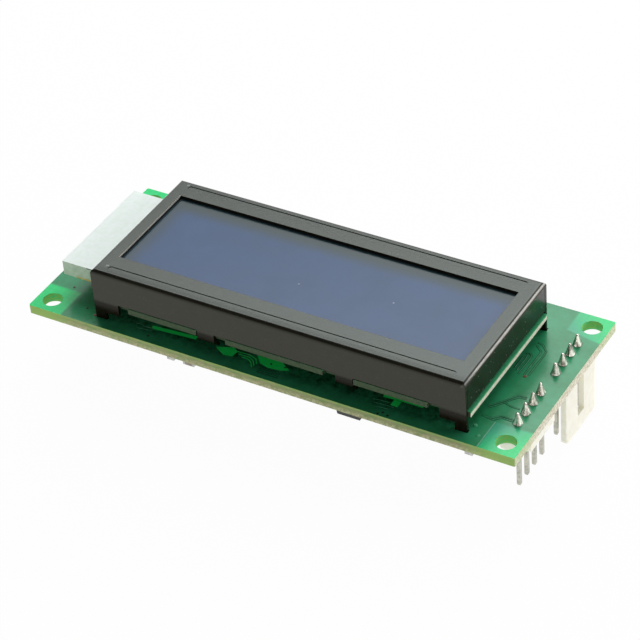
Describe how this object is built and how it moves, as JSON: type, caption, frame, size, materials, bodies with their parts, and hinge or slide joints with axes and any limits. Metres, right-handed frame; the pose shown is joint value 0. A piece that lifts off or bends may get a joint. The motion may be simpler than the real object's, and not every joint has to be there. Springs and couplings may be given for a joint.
{
  "type": "graphic lcd module",
  "caption": "Side-lit graphic display in a folded black bezel on a green controller board with mounting holes at the corners and pin headers below one end.",
  "frame": {"origin": "centre of the four-hole mounting pattern, on the main board's top face", "axes": "+X towards the end with the pin headers, +Z out of the display face, normal to the board"},
  "size_m": [0.086, 0.035, 0.0217],
  "materials": {
    "green_board": "glossy solder resist over glass-fibre laminate",
    "green_display_board": "glossy solder resist over glass-fibre laminate",
    "black_bezel": "satin black coating on folded sheet steel",
    "polariser_film": "anti-glare polarising film, dark blue grey",
    "rear_polariser_film": "smooth polarising film, blue",
    "front_cell_glass": "polished flat glass",
    "rear_cell_glass": "polished flat glass",
    "contact_elastomer": "layered silicone, matte",
    "white_housing": "moulded white plastic, satin",
    "clear_guide": "polished clear acrylic",
    "diffuser": "matte translucent film",
    "reflector": "matte white film",
    "led_board": "thin yellow laminate",
    "led_body": "moulded lamps",
    "dome_resin": "cured black resin",
    "link_plastic": "moulded black plastic",
    "link_pin_metal": "tinned square pins",
    "ivory_base": "moulded ivory nylon",
    "ivory_housing": "moulded ivory nylon",
    "serial_pin_metal": "tinned square pins",
    "power_pin_metal": "tinned square pins",
    "solder": "bright solder",
    "controller_plastic": "moulded black epoxy",
    "controller_lead_metal": "tinned leads",
    "serial_chip_plastic": "moulded black epoxy",
    "serial_chip_lead_metal": "tinned leads",
    "regulator_plastic": "moulded black epoxy",
    "regulator_lead_metal": "tinned leads",
    "crystal_metal": "drawn nickel-plated can",
    "crystal_plastic": "moulded black plastic",
    "crystal_lead_metal": "tinned leads",
    "tantalum_plastic": "moulded yellow epoxy",
    "tantalum_terminal_metal": "tinned strips",
    "diode_plastic": "moulded black epoxy",
    "diode_terminal_metal": "tinned strips",
    "capacitor_ceramic": "sintered tan ceramic",
    "capacitor_end_metal": "tinned ends",
    "resistor_ceramic": "glazed black on ceramic",
    "resistor_end_metal": "tinned ends"
  },
  "bodies": {
    "root": {"main_board": "green_board", "display_board": "green_display_board", "bezel": "black_bezel", "front_polariser": "polariser_film", "rear_polariser": "rear_polariser_film", "front_glass": "front_cell_glass", "rear_glass": "rear_cell_glass", "contact_strips": "contact_elastomer", "backlight_housing": "white_housing", "light_guide": "clear_guide", "diffuser_film": "diffuser", "reflector_film": "reflector", "backlight_led_board": "led_board", "backlight_leds": "led_body", "driver_chip_domes": "dome_resin", "board_link_strip": "link_plastic", "board_link_pins": "link_pin_metal", "serial_header_base": "ivory_base", "power_header_housing": "ivory_housing", "serial_header_pins": "serial_pin_metal", "power_header_pins": "power_pin_metal", "solder_joints": "solder", "controller_chip": "controller_plastic", "controller_chip_leads": "controller_lead_metal", "serial_chip": "serial_chip_plastic", "serial_chip_leads": "serial_chip_lead_metal", "voltage_regulator": "regulator_plastic", "voltage_regulator_leads": "regulator_lead_metal", "crystal_can": "crystal_metal", "crystal_base": "crystal_plastic", "crystal_leads": "crystal_lead_metal", "tantalum_capacitors": "tantalum_plastic", "tantalum_terminals": "tantalum_terminal_metal", "protection_diode": "diode_plastic", "protection_diode_terminals": "diode_terminal_metal", "ceramic_capacitors": "capacitor_ceramic", "ceramic_capacitor_ends": "capacitor_end_metal", "chip_resistors": "resistor_ceramic", "chip_resistor_ends": "resistor_end_metal"}
  },
  "joints": []
}
